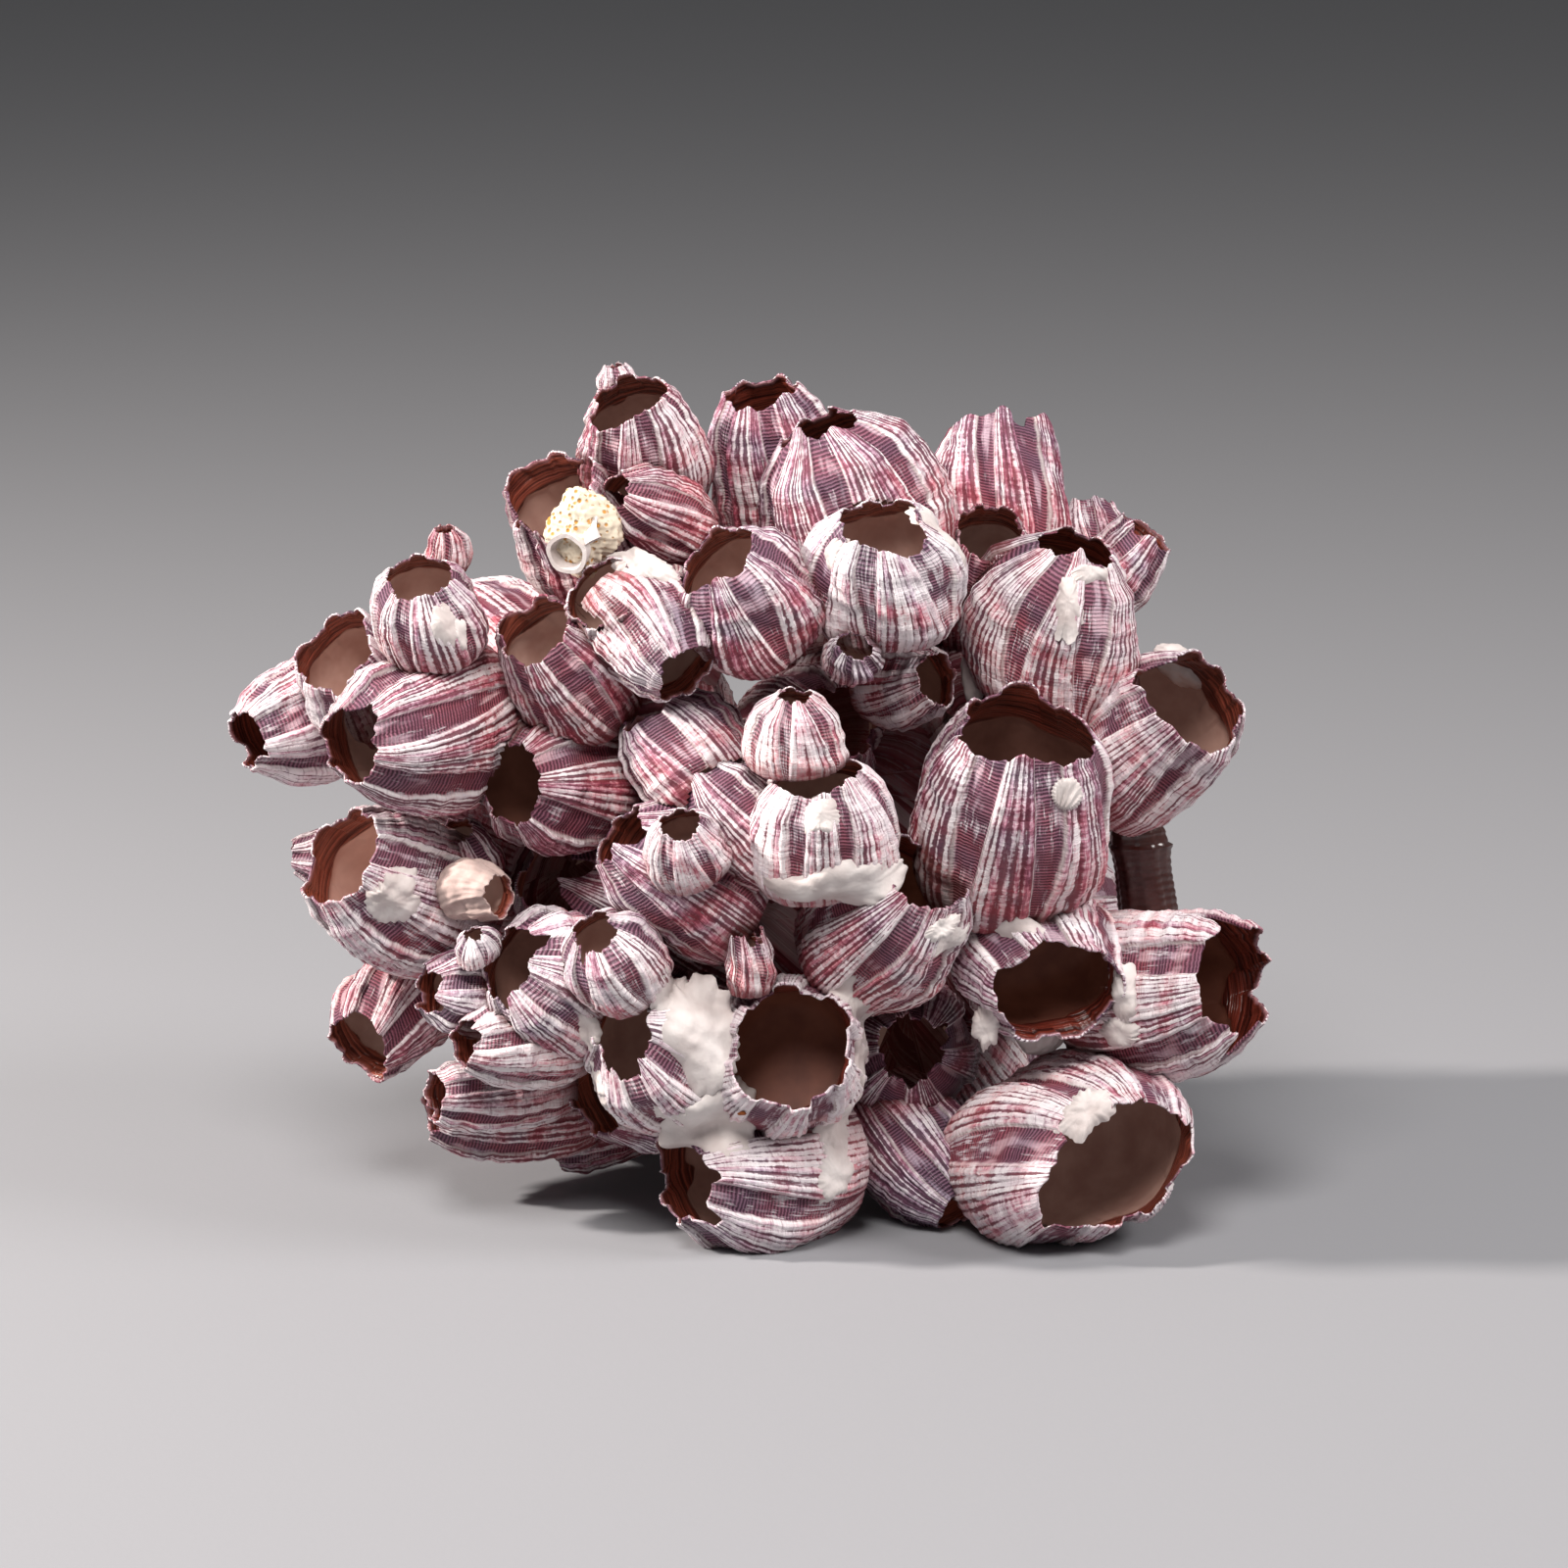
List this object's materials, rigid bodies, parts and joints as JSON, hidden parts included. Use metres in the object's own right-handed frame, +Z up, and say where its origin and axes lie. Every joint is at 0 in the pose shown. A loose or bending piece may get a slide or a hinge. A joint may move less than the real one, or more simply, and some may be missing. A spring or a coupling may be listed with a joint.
{
  "type": "barnacle cluster",
  "caption": "Cluster of striped barrel-shaped acorn barnacle shells with open mouths, grown on one another and facing every way, resting on its lowest shells.",
  "frame": {"origin": "on the ground under the middle of the cluster's bounding box", "axes": "+X to the right of someone who faces the front, +Y away from them, +Z up"},
  "size_m": [0.1994, 0.1204, 0.1602],
  "materials": {
    "shell": "matte grown shell, ribbed, with fine cross lines",
    "crust": "matte porous worm-built lime"
  },
  "bodies": {
    "root": {"front_big_mouth": "shell", "front_low_left": "shell", "front_bottom": "shell", "front_right_low": "shell", "front_small": "shell", "under_middle": "shell", "centre_button": "shell", "centre_white": "shell", "centre_right_big": "shell", "centre_right_mouth": "shell", "button_left": "shell", "double_left": "shell", "middle_fan": "shell", "left_shadow": "shell", "small_side": "shell", "white_cap": "shell", "centre_left_big": "shell", "crown_left": "shell", "crown_front": "shell", "crown_middle": "shell", "upper_left_open": "shell", "under_crown": "shell", "middle_small": "shell", "tilted_middle": "shell", "right_big": "shell", "dark_mouth": "shell", "far_right": "shell", "right_low_mouth": "shell", "far_right_low": "shell", "right_tall": "shell", "right_back": "shell", "left_mouth_middle": "shell", "left_mouth_up": "shell", "left_upper": "shell", "left_big_striped": "shell", "far_left": "shell", "left_back_mouth": "shell", "left_low": "shell", "left_lower_middle": "shell", "left_lower_small": "shell", "left_lower_front": "shell", "left_bottom": "shell", "left_lowest": "shell", "left_under": "shell", "back_foot_left": "shell", "back_foot_right": "shell", "back_middle_left": "shell", "back_middle_right": "shell", "back_middle_low": "shell", "back_top_left": "shell", "back_top_right": "shell", "back_left_high": "shell", "back_right_high": "shell", "back_left": "shell", "back_right": "shell", "behind_front": "shell", "dark_hollow": "shell", "lower_hollow": "shell", "deep_left": "shell", "worm_crust": "crust"}
  },
  "joints": []
}
